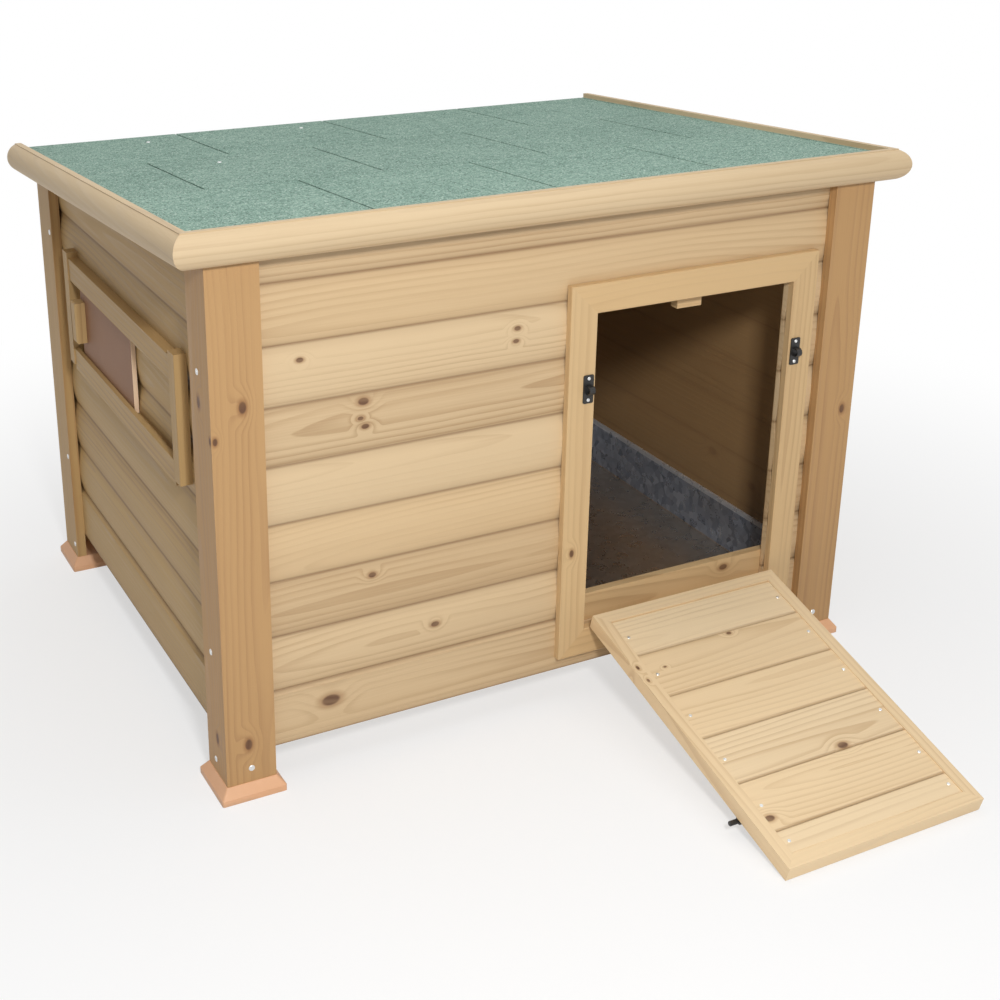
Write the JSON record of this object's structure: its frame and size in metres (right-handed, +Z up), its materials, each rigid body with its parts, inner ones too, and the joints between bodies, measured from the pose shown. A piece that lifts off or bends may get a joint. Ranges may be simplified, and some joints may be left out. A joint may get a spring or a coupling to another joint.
{
  "type": "duck house",
  "caption": "Raised timber duck house with a felted lid hinged at the rear, a fold-down ramp door with bolts, a sliding vent shutter and a pull-out steel tray.",
  "frame": {"origin": "centre of the floor rectangle under the whole object with its ramp down, at floor level", "axes": "+X right along the front as seen from in front, +Y from the ramp's tip to the rear wall, +Z up"},
  "size_m": [1.02, 1.1992, 0.7247],
  "materials": {
    "front_boards": "planed pine with a clear satin stain",
    "wall_boards": "planed pine with a clear satin stain",
    "pine": "planed pine with a clear satin stain",
    "frame_pine": "planed pine with a clear satin stain",
    "trim_pine": "machined half-round pine with a clear satin stain",
    "ramp_pine": "planed pine, unstained and matt",
    "deck_board": "sheathing board, matt",
    "shutter_board": "thin brown board, satin",
    "felt": "bitumen felt with green mineral grit, matt",
    "foot_plastic": "moulded salmon plastic, satin",
    "black_metal": "black powder coat, semi-gloss",
    "zinc": "bright zinc plate",
    "galvanised": "galvanised sheet with a fine spangle"
  },
  "bodies": {
    "house": {"front_cladding": "front_boards", "back_cladding": "wall_boards", "left_cladding": "wall_boards", "right_cladding": "wall_boards", "back_top_rail": "pine", "corner_battens": "pine", "post_front_left": "pine", "post_front_right": "pine", "post_back_left": "pine", "post_back_right": "pine", "foot_cap_front_left": "foot_plastic", "foot_cap_front_right": "foot_plastic", "foot_cap_back_left": "foot_plastic", "foot_cap_back_right": "foot_plastic", "frame_bottom_rail": "frame_pine", "frame_right_stile": "frame_pine", "frame_top_rail": "frame_pine", "frame_left_stile": "frame_pine", "door_sill_board": "pine", "door_stop_block": "pine", "floor_rails": "pine", "tray_runners": "pine", "vent_rail_bottom": "pine", "vent_rail_top": "pine", "vent_stops": "pine", "bolt_keeper_left": "black_metal", "bolt_keeper_right": "black_metal", "ramp_hinge_frame_leaves": "black_metal", "ramp_hinge_pins": "black_metal", "roof_hinge_wall_leaves": "black_metal", "roof_hinge_pins": "black_metal", "post_screws": "zinc", "hardware_screws": "zinc"},
    "roof": {"roof_deck": "deck_board", "felt_underlay": "felt", "shingle_course_front": "felt", "shingle_course_middle": "felt", "shingle_course_rear": "felt", "roof_trim_front": "trim_pine", "roof_trim_left": "trim_pine", "roof_trim_right": "trim_pine", "roof_battens": "pine", "roof_hinge_lid_leaves": "black_metal", "felt_nails": "zinc"},
    "ramp": {"ramp_hinge_batten": "ramp_pine", "ramp_right_batten": "ramp_pine", "ramp_tip_batten": "ramp_pine", "ramp_left_batten": "ramp_pine", "ramp_planks": "ramp_pine", "ramp_hinge_door_leaves": "black_metal", "bolt_base_left": "black_metal", "bolt_base_right": "black_metal", "ramp_screws": "zinc"},
    "bolt_left": {"bolt_rod_left": "black_metal"},
    "bolt_right": {"bolt_rod_right": "black_metal"},
    "shutter": {"shutter_panel": "shutter_board", "shutter_handle": "pine"},
    "tray": {"steel_tray": "galvanised", "drawer_front": "pine", "drawer_pull": "pine"}
  },
  "joints": [
    {"name": "roof_lid", "type": "hinge", "parent": "house", "child": "roof", "pos_m": [0, 0.59349, 0.64567], "axis": [-1, 0, 0], "range_deg": [0, 80]},
    {"name": "ramp_hinge", "type": "hinge", "parent": "house", "child": "ramp", "pos_m": [0.1955, -0.16721, 0.1115], "axis": [-1, 0, 0], "range_deg": [0, 105.13]},
    {"name": "bolt_left_slide", "type": "slide", "parent": "ramp", "child": "bolt_left", "axis": [-1, 0, 0], "range_m": [-0.012, 0.013]},
    {"name": "bolt_right_slide", "type": "slide", "parent": "ramp", "child": "bolt_right", "axis": [1, 0, 0], "range_m": [-0.012, 0.013]},
    {"name": "shutter_slide", "type": "slide", "parent": "house", "child": "shutter", "axis": [0, -1, 0], "range_m": [0, 0.185]},
    {"name": "tray_slide", "type": "slide", "parent": "house", "child": "tray", "axis": [0, 1, 0], "range_m": [0, 0.6]}
  ]
}
